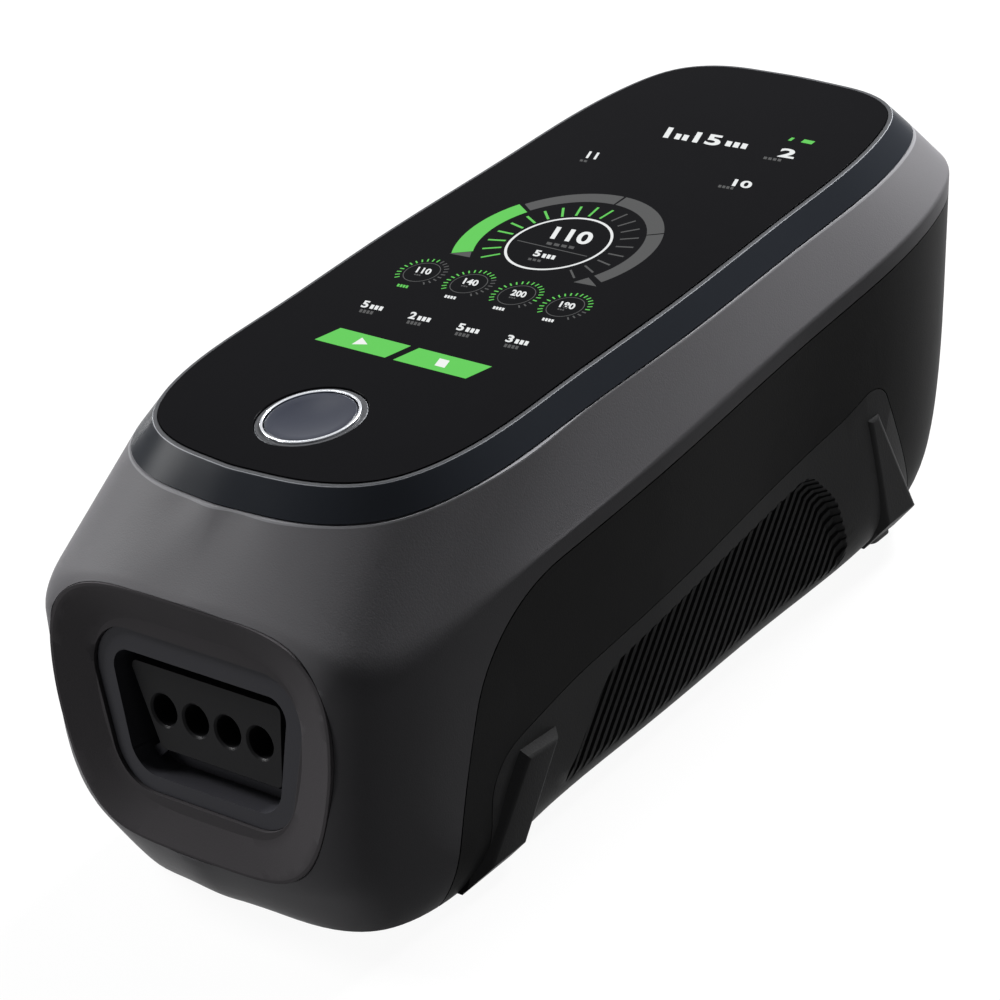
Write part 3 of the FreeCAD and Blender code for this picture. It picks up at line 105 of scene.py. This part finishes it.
# ---- Moulded plastic of the upper shell -------------------------------------------------------------
# The upper shell is one injection moulding in charcoal plastic with a fine spark texture and a satin
# coat. It wraps down round the nose and stops at the seam with the lower shell.
class Signal:
    """A value that varies over a surface, for sums and products."""

    def __init__(self, finish, socket):
        self.finish = finish
        self.socket = socket

    def maths(self, operation, first, second):
        return self.finish.node("ShaderNodeMath", {"operation": operation}, {0: first, 1: second})

    def __add__(self, other):
        return self.maths("ADD", self, other)

    def __sub__(self, other):
        return self.maths("SUBTRACT", self, other)

    def __rsub__(self, other):
        return self.maths("SUBTRACT", other, self)

    def __mul__(self, other):
        return self.maths("MULTIPLY", self, other)

    __radd__ = __add__
    __rmul__ = __mul__


class Finish:
    """A surface finish: one principled shader and the nodes that vary it over the piece."""

    def __init__(self, name, sockets):
        self.material = bpy.data.materials.new(name)
        self.material.use_nodes = True
        self.tree = self.material.node_tree
        self.shader = self.tree.nodes["Principled BSDF"]
        self.place = self.node("ShaderNodeTexCoord", {}, {}, "Object")
        self.wear(sockets)

    def node(self, kind, settings, inputs, output=0):
        made = self.tree.nodes.new(kind)
        for key, value in settings.items():
            if key == "stops":
                made.color_ramp.elements[0].position = value[0]
                made.color_ramp.elements[1].position = value[1]
            else:
                setattr(made, key, value)
        for key, value in inputs.items():
            self.join(made.inputs[key], value)
        return Signal(self, made.outputs[output])

    def join(self, socket, value):
        if isinstance(value, Signal):
            self.tree.links.new(value.socket, socket)
        else:
            socket.default_value = value

    def wear(self, sockets):
        for name, value in sockets.items():
            self.join(self.shader.inputs[name], value)

    def noise(self, scale, detail=3.0):
        return self.node("ShaderNodeTexNoise", {}, {"Vector": self.place, "Scale": scale, "Detail": detail}, "Fac")

    def band(self, value, low, high):
        """0 below low, 1 above high."""
        return self.node("ShaderNodeMapRange", {"clamp": True}, {"Value": value, "From Min": low, "From Max": high})

    def blend(self, share, first, second):
        return self.node("ShaderNodeMix", {"data_type": "RGBA"}, {"Factor": share, "A": first, "B": second}, "Result")

    def grain(self, height, depth):
        return self.node("ShaderNodeBump", {}, {"Height": height, "Distance": depth, "Strength": 1.0}, "Normal")


def moulded(name, colour, roughness, grain=2600.0, depth=0.00003, patchy=0.10, shine=0.5, coat=0.0):
    """Moulded plastic or rubber: spark texture, faint cloudy colour and a roughness that drifts."""
    finish = Finish(name, {"Specular IOR Level": shine, "Coat Weight": coat, "Coat Roughness": 0.08})
    cloud = finish.noise(22.0)
    spark = finish.noise(grain, 2.0)
    dark = tuple(c * (1 - patchy) for c in colour) + (1.0,)
    light = tuple(c * (1 + patchy) for c in colour) + (1.0,)
    finish.wear({
        "Base Color": finish.blend(0.7 * cloud + 0.3 * spark, dark, light),
        "Roughness": roughness - 0.04 + 0.08 * cloud,
        "Normal": finish.grain(spark, depth),
    })
    return finish


def dress(node, finish):
    """Gives a CAD piece its finish."""
    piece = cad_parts[node]
    piece.data.materials.clear()
    piece.data.materials.append(finish.material)
    return piece


def corner_normals(form, flats, reach):
    """A normal for each face corner: a flat face keeps its own, sloping walls take the mean of the walls
    within reach, and the rest is left to the smooth shading."""
    walls = [f for f in form.faces if reach and 0.25 < f.normal.z < 0.93 and f.calc_area() > 2e-8]
    tree = KDTree(len(walls))
    for i, face in enumerate(walls):
        tree.insert(face.calc_center_median(), i)
    tree.balance()
    means = {}
    for vert in {v for face in walls for v in face.verts}:
        mean = Vector()
        for place, i, distance in tree.find_range(vert.co, reach):
            mean += walls[i].normal * walls[i].calc_area() * (1 - distance / reach)
        means[vert] = mean.normalized() if mean.length else Vector()
    walls = set(walls)
    normals = []
    for face in form.faces:
        if face in walls:
            normals += [means[v] for v in face.verts]
        elif flats and flats.find(face.normal)[2] < 0.01:
            normals += [face.normal.copy() for v in face.verts]
        else:
            normals += [Vector() for v in face.verts]
    return normals


def flat_directions(form, limit):
    """The directions of the faces that lie flat with their neighbours."""
    found = {}
    for face in form.faces:
        angles = [e.calc_face_angle(0.0) for e in face.edges if len(e.link_faces) == 2]
        if face.calc_area() > 1e-6 and not any(0.004 < a < limit for a in angles):
            found[tuple(round(c, 2) for c in face.normal)] = face.normal.copy()
    return found.values()


def moulding(node, finish, body="pump", crisp=32.0, edge=0.0, even=0.0, shape=None):
    """A copy of a CAD piece with its triangles joined, shaded smooth, with its sharp edges broken by a
    small radius. even: reach over which the shading of its sloping walls is averaged. shape(form) may
    change the form first."""
    form = bmesh.new()
    form.from_mesh(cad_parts[node].data)
    bmesh.ops.remove_doubles(form, verts=form.verts, dist=1e-6)
    bmesh.ops.dissolve_degenerate(form, edges=form.edges, dist=1e-6)
    limit = math.radians(crisp)
    directions = flat_directions(form, limit)
    flats = KDTree(len(directions))
    for i, direction in enumerate(directions):
        flats.insert(direction, i)
    flats.balance()
    if shape:
        shape(form)
    if edge:
        sharp = [e for e in form.edges if len(e.link_faces) == 2 and e.calc_face_angle(0.0) > limit]
        bmesh.ops.bevel(form, geom=sharp, offset=edge, offset_type="OFFSET", segments=2, profile=0.5,
                        affect="EDGES", material=-1, clamp_overlap=True)
    for face in form.faces:
        face.smooth = True
    for line in form.edges:
        line.smooth = len(line.link_faces) != 2 or line.calc_face_angle(0.0) < limit
    form.normal_update()
    normals = corner_normals(form, flats if directions else None, even)
    mesh = bpy.data.meshes.new(node + "_shell")
    form.to_mesh(mesh)
    form.free()
    mesh.normals_split_custom_set(normals)
    mesh.materials.append(finish.material)
    piece = bpy.data.objects.new(node + "_shell", mesh)
    scene.collection.objects.link(piece)
    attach(piece, body)
    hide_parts(node)
    return piece


def painted_highlight_band(finish, base, highlight_bands):
    """Paints a thin level band of a surface lighter, as a painted highlight, once for each (low, high, colour)."""
    height = finish.node("ShaderNodeSeparateXYZ", {}, {"Vector": finish.place}, "Z")
    for low, high, colour in highlight_bands:
        share = finish.band(height, low - 0.00002, low + 0.00002) - finish.band(height, high, high + 0.00004)
        base = finish.blend(share, base, colour + (1,))
    finish.wear({"Base Color": base})


charcoal = moulded("Charcoal shell", (0.105, 0.103, 0.109), 0.42, shine=0.03)
# Painted highlight: a thin pale band is painted along the cover's top edge under the bezel, where its rim would catch
# the light.
painted_highlight_band(charcoal, Signal(charcoal, charcoal.shader.inputs["Base Color"].links[0].from_socket),
         [(0.09288, 0.0934, (0.19, 0.19, 0.20))])
moulding("top_cover", charcoal)

# ---- Lower shell, hatch and screws ------------------------------------------------------------------
# The lower shell is a darker moulding of the same plastic with a coarser matt texture. The battery hatch
# underneath is flush with it, and zinc-plated screws hold hatch and shells.
graphite = moulded("Graphite shell", (0.022, 0.022, 0.0225), 0.46, grain=2200.0, depth=0.00004, shine=0.02)
moulding("lower_housing", graphite)
dress("base_plate", graphite)


def metal(name, colour, roughness, brushed=0.0, streak=(600.0, 600.0, 30.0)):
    """Bare metal with fine streaks along one axis."""
    finish = Finish(name, {"Metallic": 1.0})
    drawn = finish.node("ShaderNodeMapping", {}, {"Vector": finish.place, "Scale": streak})
    lines = finish.node("ShaderNodeTexNoise", {}, {"Vector": drawn, "Scale": 4.0, "Detail": 3.0}, "Fac")
    finish.wear({
        "Base Color": finish.blend(lines, tuple(0.86 * c for c in colour) + (1,), colour + (1,)),
        "Roughness": roughness + 0.12 * lines,
        "Normal": finish.grain(lines, 0.000004 + brushed),
    })
    return finish


zinc = metal("Zinc-plated steel", (0.62, 0.63, 0.66), 0.28)
for screws in ("base_screws", "case_screws", "valve_screws", "cradle_screws", "board_screws"):
    dress(screws, zinc)

# ---- Side grips and feet ----------------------------------------------------------------------------
# Each side carries a thin rubber skin, moulded on, with a sunken ribbed hand hold and two legs. Four
# softer pads under the legs stop the pump from sliding.
grip_rubber = moulded("Grip rubber", (0.042, 0.042, 0.043), 0.50, grain=1800.0, depth=0.00005, shine=0.04)


def soften_legs(form):
    """Rounds the edges of the legs."""
    edges = [e for e in form.edges if len(e.link_faces) == 2 and e.calc_face_angle(0.0) > 0.35
             and all(abs(v.co.x) > 0.0475 and v.co.z < 0.062 for v in e.verts)
             and (all(v.co.y < -0.062 for v in e.verts) or all(v.co.y > 0.052 for v in e.verts))]
    bmesh.ops.bevel(form, geom=edges, offset=0.0011, offset_type="OFFSET", segments=3, profile=0.5,
                    affect="EDGES", material=-1, clamp_overlap=True)


moulding("side_grip_right", grip_rubber, shape=soften_legs)
moulding("side_grip_left", grip_rubber, shape=soften_legs)
dress("foot_pads", moulded("Pad rubber", (0.018, 0.018, 0.018), 0.7, grain=1400.0, depth=0.00006))

# ---- Nose panel, hose socket and manifold -----------------------------------------------------------
# The dished panel is a matt plate snapped into the flat of the nose. The socket cup behind it takes the
# hose plug, and the manifold block in the cup has the four round hose ports.
slate = moulded("Slate panel", (0.050, 0.047, 0.050), 0.50, grain=2400.0, depth=0.00003, shine=0.03)
moulding("nose_panel", slate, edge=0.00022)
moulding("hose_socket", moulded("Socket plastic", (0.040, 0.040, 0.046), 0.38, shine=0.06), edge=0.00022)
moulding("hose_manifold", moulded("Manifold plastic", (0.012, 0.012, 0.013), 0.34, shine=0.05), edge=0.0002)

# ---- Bezel and touch glass --------------------------------------------------------------------------
# The bezel is a gloss black sloping frame. The glass, printed black on its underside, is bonded on the
# bezel's ledge. A thin painted highlight runs along the rounded outer edge of the bezel's lip, with a
# faint painted grey sheen on the lip's top above it.
gloss = moulded("Gloss black", (0.014, 0.016, 0.020), 0.25, grain=500.0, depth=0.000001, shine=0.02)
# Painted sheen and painted highlight on the bezel's lip: a faint grey strip on its top and a bright line along its
# rounded outer edge.
painted_highlight_band(gloss, Signal(gloss, gloss.shader.inputs["Base Color"].links[0].from_socket),
         [(0.09913, 0.09930, (0.045, 0.046, 0.049)), (0.09900, 0.09913, (0.30, 0.31, 0.33))])
moulding("glass_bezel", gloss, edge=0.0002, even=0.006)
glass = moulded("Printed glass", (0.003, 0.003, 0.0035), 0.10, grain=200.0, depth=0.000001, shine=0.006)
moulding("touch_glass", glass, edge=0.0001)

# ---- Screen picture ---------------------------------------------------------------------------------
# The display shows its dials, numbers and two keys through the glass. Each colour of light is one thin
# layer that lies on the glass: pale, grey and green.
screen_z = 0.0995
layer = 0.00003
lean = -0.40
rise = 0.07


def lit(name, colour):
    """Lit pixels, faintly uneven."""
    finish = Finish(name, {"Base Color": (0, 0, 0, 1), "Roughness": 0.3, "Specular IOR Level": 0.1,
                           "Emission Strength": 1.0})
    cells = finish.noise(9000.0, 1.0)
    finish.wear({"Emission Color": finish.blend(cells, tuple(0.88 * c for c in colour) + (1,), colour + (1,))})
    return finish


def sector(x, y, inner, outer, start, end):
    """Part of a ring; angles run clockwise from the tail."""
    steps = max(2, int((end - start) / 3))
    turns = [math.radians(start + (end - start) * i / steps) for i in range(steps + 1)]
    rim = [(x + outer * math.sin(t), y + outer * math.cos(t)) for t in turns]
    return rim + [(x + inner * math.sin(t), y + inner * math.cos(t)) for t in reversed(turns)]


def ring(x, y, inner, outer):
    return [sector(x, y, inner, outer, 0, 180), sector(x, y, inner, outer, 180, 360)]


def tick(x, y, inner, outer, angle, width):
    along = Vector((math.sin(math.radians(angle)), math.cos(math.radians(angle))))
    across = Vector((along.y, -along.x)) * width / 2
    ends = (along * inner + across, along * outer + across, along * outer - across, along * inner - across)
    return [(x + p.x, y + p.y) for p in ends]


def bar(x, y, width, height, slant=0.0):
    """A bar centred on a point, its top shifted by slant."""
    low, high, half = y - height / 2, y + height / 2, width / 2
    return [(x - half - slant / 2, low), (x - half + slant / 2, high), (x + half + slant / 2, high),
            (x + half - slant / 2, low)]


def caption(x, y, width, height, count):
    """A row of small blocks in place of a word, with the figures' slant and rise."""
    pitch = width / count
    steps = [pitch * (i - (count - 1) / 2) for i in range(count)]
    return [bar(x + step, y + rise * step, 0.72 * pitch, height, lean * height) for step in steps]


def number(text, x, y, width, height):
    """Heavy slanted figures, centred on a point and fitted to a size; gives a bmesh."""
    curve = bpy.data.curves.new("figures", "FONT")
    curve.body = text
    curve.offset = 0.028
    curve.extrude = 0.01
    typed = bpy.data.objects.new("figures", curve)
    scene.collection.objects.link(typed)
    bpy.context.view_layer.update()
    mesh = bpy.data.meshes.new_from_object(typed.evaluated_get(bpy.context.evaluated_depsgraph_get()))
    bpy.data.objects.remove(typed)
    form = bmesh.new()
    form.from_mesh(mesh)
    bpy.data.meshes.remove(mesh)
    low = Vector([min(v.co[i] for v in form.verts) for i in range(3)])
    high = Vector([max(v.co[i] for v in form.verts) for i in range(3)])
    for v in form.verts:
        share = [(v.co[i] - low[i]) / (high[i] - low[i]) - 0.5 for i in range(3)]
        across = share[0] * width
        up = share[1] * height
        v.co = ((x + across + lean * up) / 1000, (y + up + rise * across) / 1000,
                screen_z + layer * (share[2] + 0.5))
    return form


def light_layer(name, finish, outlines, figures=()):
    """One thin layer of the screen picture: outlines in mm, and figures."""
    form = bmesh.new()
    for outline in outlines:
        face = form.faces.new([form.verts.new((x / 1000, y / 1000, screen_z)) for x, y in outline])
        grown = bmesh.ops.extrude_face_region(form, geom=[face])
        bmesh.ops.translate(form, verts=[g for g in grown["geom"] if isinstance(g, bmesh.types.BMVert)],
                            vec=(0, 0, layer))
    spare = bpy.data.meshes.new("spare")
    for text in figures:
        text.to_mesh(spare)
        form.from_mesh(spare)
        text.free()
    bpy.data.meshes.remove(spare)
    bmesh.ops.recalc_face_normals(form, faces=form.faces)
    mesh = bpy.data.meshes.new(name)
    form.to_mesh(mesh)
    form.free()
    mesh.materials.append(finish.material)
    piece = bpy.data.objects.new(name, mesh)
    scene.collection.objects.link(piece)
    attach(piece, "pump")
    return piece


pale, grey, green, figures = [], [], [], []
dial_y = 24.7
pale += ring(0, dial_y, 12.3, 12.95)
for i in range(20):
    angle = -133 + 13.8 * i
    if i < 11:
        green.append(tick(0, dial_y, 13.9, 18.5, angle, 0.62))
    else:
        grey.append(tick(0, dial_y, 14.7, 19.2, angle, 0.5))
green.append(sector(0, dial_y, 20.6, 25.8, -122, -61.5))
for start, end in ((-59, -0.8), (0.8, 56.5), (57.7, 116.8)):
    grey.append(sector(0, dial_y, 20.9, 25.0, start, end))
for side in (-1, 1):
    tip = tick(side * 0.3, dial_y, 20.9, 20.9, side * 131, 0.1)[0]
    low_end, high_end = tick(0, dial_y, 20.9, 26.2, side * 119.5 + 2 * side - 1, 0.1)[:2]
    grey.append([tip, low_end, high_end] if side > 0 else [tip, high_end, low_end])
grey += [bar(0, 22.2, 21.5, 0.28), *caption(1.0, 24.1, 8.6, 1.1, 4), *caption(-0.2, 16.0, 4.0, 0.9, 3)]
figures += [number("110", 0.65, 29.1, 11.2, 5.5), number("5", -1.7, 18.9, 1.9, 2.7)]
pale += caption(2.0, 18.6, 4.0, 1.7, 3)
for i, (value, full) in enumerate((("110", 10), ("140", 48), ("200", 100), ("180", 84))):
    x = -22.2 + 14.75 * i
    for j in range(21):
        angle = -134 + 13.4 * j
        (green if angle < full else grey).append(tick(x, 0.7, 5.3, 6.5, angle, 0.36))
    grey += ring(x, 0.7, 4.35, 4.55)
    figures.append(number(value, x, 1.5, 4.1, 2.5))
    grey += caption(x - 0.2, -0.7, 2.0, 0.5, 3)
    (pale if i else green).extend(caption(x + 0.2, -6.4 + 0.2 * i, 3.4, 1.1, 4))
    x = -24.3 + 14.7 * i
    figures.append(number("5253"[i], x - 0.1, -16.8 + 0.2 * i, 1.9, 2.9))
    pale += caption(x + 3.6, -17.1 + 0.2 * i, 4.0, 1.7, 3)
    grey += caption(x + 2.6, -19.6 + 0.2 * i, 4.2, 1.3, 4)
green += [bar(-12.2, -31.4, 21.9, 6.7, 2.1), bar(12.3, -31.4, 22.0, 6.7, 2.1)]
figures += [number("1", -12.0, 81.2, 1.5, 5.0), number("15", -0.2, 81.9, 7.8, 5.0),
            number("2", 23.5, 82.8, 4.6, 4.2), number("10", 23.0, 65.8, 5.2, 3.2),
            number("11", -22.3, 64.4, 3.0, 3.2)]
pale += [*caption(-7.2, 80.4, 4.4, 2.6, 2), *caption(8.6, 81.9, 6.8, 2.4, 3)]
grey += [*caption(21.8, 79.0, 5.4, 1.1, 4), *caption(20.2, 62.9, 4.6, 1.1, 4), *caption(-22.6, 61.2, 2.4, 0.9, 2)]
green += [bar(24.5, 89.6, 3.2, 1.6), bar(19.7, 89.3, 0.9, 1.6)]
light_layer("Screen_pale", lit("Pale pixels", (0.86, 0.88, 0.88)), pale, figures)
light_layer("Screen_grey", lit("Grey pixels", (0.070, 0.071, 0.072)), grey)
light_layer("Screen_green", lit("Green pixels", (0.105, 0.62, 0.080)), green)
screen_z += layer
light_layer("Screen_key_marks", lit("Key mark pixels", (0.9, 0.92, 0.9)),
            [[(-14.1, -33.0), (-13.9, -29.6), (-10.5, -31.6)], bar(12.3, -31.4, 3.0, 3.0, -1.0)])

# ---- Home button ------------------------------------------------------------------------------------
# A dished gloss button in a bright ring, in a round surround that fills the hole of the glass.
chrome = metal("Bright ring", (0.72, 0.74, 0.78), 0.12, streak=(40.0, 40.0, 40.0))
button_gloss = moulded("Button gloss", (0.012, 0.014, 0.022), 0.30, grain=500.0, depth=0.000001, shine=0.10)
moulding("home_button_ring", gloss)
moulding("home_button_trim", chrome)
moulding("home_button", button_gloss, body="home_button_body")

# ---- Inside -----------------------------------------------------------------------------------------
# Boards, valves, compressor, tubes and battery, none of which shows from outside.
board_green = moulded("Board lacquer", (0.015, 0.12, 0.05), 0.3, grain=300.0, depth=0.00001)
chip_black = moulded("Chip resin", (0.025, 0.025, 0.027), 0.5)
frame_white = moulded("Frame nylon", (0.52, 0.52, 0.50), 0.5)
coil_tape = moulded("Coil tape", (0.45, 0.28, 0.04), 0.35)
pump_black = moulded("Pump plastic", (0.05, 0.05, 0.055), 0.45)
silicone = moulded("Silicone tube", (0.62, 0.62, 0.58), 0.35)
soft_black = moulded("Soft rubber", (0.02, 0.02, 0.02), 0.65)
foam_grey = moulded("Filter foam", (0.10, 0.10, 0.10), 0.9, grain=900.0, depth=0.0003)
cell_wrap = moulded("Cell sleeve", (0.04, 0.14, 0.30), 0.3)
ribbon_amber = moulded("Ribbon film", (0.40, 0.17, 0.03), 0.3)
display_grey = moulded("Display glass", (0.04, 0.05, 0.06), 0.15)
steel = metal("Motor steel", (0.60, 0.61, 0.63), 0.3)
for node, finish in {
    "main_board": board_green, "button_board": board_green, "sensor_board": board_green,
    "board_components": chip_black, "pressure_sensors": chip_black, "home_switch": chip_black,
    "display_frame": frame_white, "pump_cradle": frame_white, "battery_tray": frame_white,
    "valve_block": frame_white, "valve_coils": coil_tape, "pump_body": pump_black, "pump_head": pump_black,
    "battery_strap": pump_black, "charge_inlet": pump_black, "zone_tubes": silicone, "supply_tube": silicone,
    "pump_diaphragm": soft_black, "isolators": soft_black, "intake_filter": foam_grey,
    "battery_cells": cell_wrap, "ribbon_cable": ribbon_amber, "display_panel": display_grey,
    "motor_can": steel, "pump_rotor": steel, "charge_nut": steel, "home_button_spring": steel,
    "valve_plunger_1": steel, "valve_plunger_2": steel, "valve_plunger_3": steel, "valve_plunger_4": steel,
    "valve_spring_1": steel, "valve_spring_2": steel, "valve_spring_3": steel, "valve_spring_4": steel,
}.items():
    dress(node, finish)

# ---- Table ------------------------------------------------------------------------------------------
# A white laminate top, which shows white to the camera and in reflections, and keeps the pump's shadow.
table = Finish("White table", {"Roughness": 0.9, "Specular IOR Level": 0.05})
ply = table.noise(30.0)
in_view = (table.node("ShaderNodeLightPath", {}, {}, "Is Camera Ray")
           + table.node("ShaderNodeLightPath", {}, {}, "Is Glossy Ray")
           + table.node("ShaderNodeLightPath", {}, {}, "Is Transmission Ray"))
dim = table.blend(ply, (0.047, 0.047, 0.047, 1), (0.053, 0.053, 0.053, 1))
table.wear({"Base Color": table.blend(in_view, dim, (0.88, 0.88, 0.88, 1))})
glow = table.tree.nodes.new("ShaderNodeEmission")
share = table.tree.nodes.new("ShaderNodeMixShader")
table.join(share.inputs[0], 0.94 * in_view)
table.tree.links.new(table.shader.outputs[0], share.inputs[1])
table.tree.links.new(glow.outputs[0], share.inputs[2])
table.tree.links.new(share.outputs[0], table.tree.nodes["Material Output"].inputs["Surface"])
top = bmesh.new()
bmesh.ops.create_grid(top, x_segments=2, y_segments=2, size=6.0)
top_mesh = bpy.data.meshes.new("Table")
top.to_mesh(top_mesh)
top.free()
top_mesh.materials.append(table.material)
table_top = bpy.data.objects.new("Table", top_mesh)
scene.collection.objects.link(table_top)
